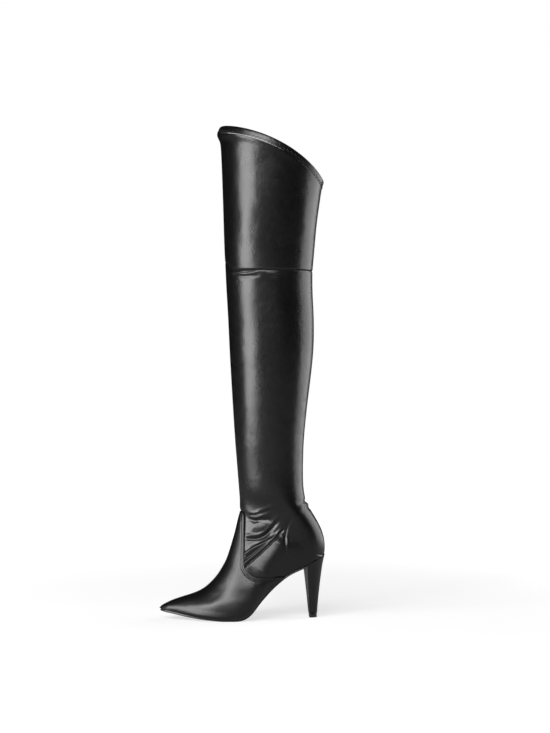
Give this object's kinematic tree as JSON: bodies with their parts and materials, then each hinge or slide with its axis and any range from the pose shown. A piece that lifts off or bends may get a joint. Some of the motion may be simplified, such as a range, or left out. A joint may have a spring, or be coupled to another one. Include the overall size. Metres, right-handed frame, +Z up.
{
  "type": "thigh high boot",
  "caption": "Black over-the-knee boot for the left foot, with a pointed toe, a tapered covered heel, a seam at the knee and a slanted collar.",
  "frame": {"origin": "on the floor, in the middle of the face that the heel stands on", "axes": "+Z up along the leg, the toe towards -X, the outer side of the left foot towards -Y"},
  "size_m": [0.235, 0.1367, 0.697],
  "materials": {
    "black_stretch_leather": "smooth, satin sheen",
    "heel_cover": "smooth, satin sheen, pulled tight over the heel",
    "black_rubber": "satin, with a glossy edge",
    "black_lining": "matte"
  },
  "bodies": {
    "root": {"outsole": "black_rubber", "insole": "black_lining", "upper": "black_stretch_leather", "vamp": "black_stretch_leather", "thigh_panel": "black_stretch_leather", "collar_band": "black_stretch_leather", "heel": "heel_cover", "top_piece": "black_rubber"}
  },
  "joints": []
}
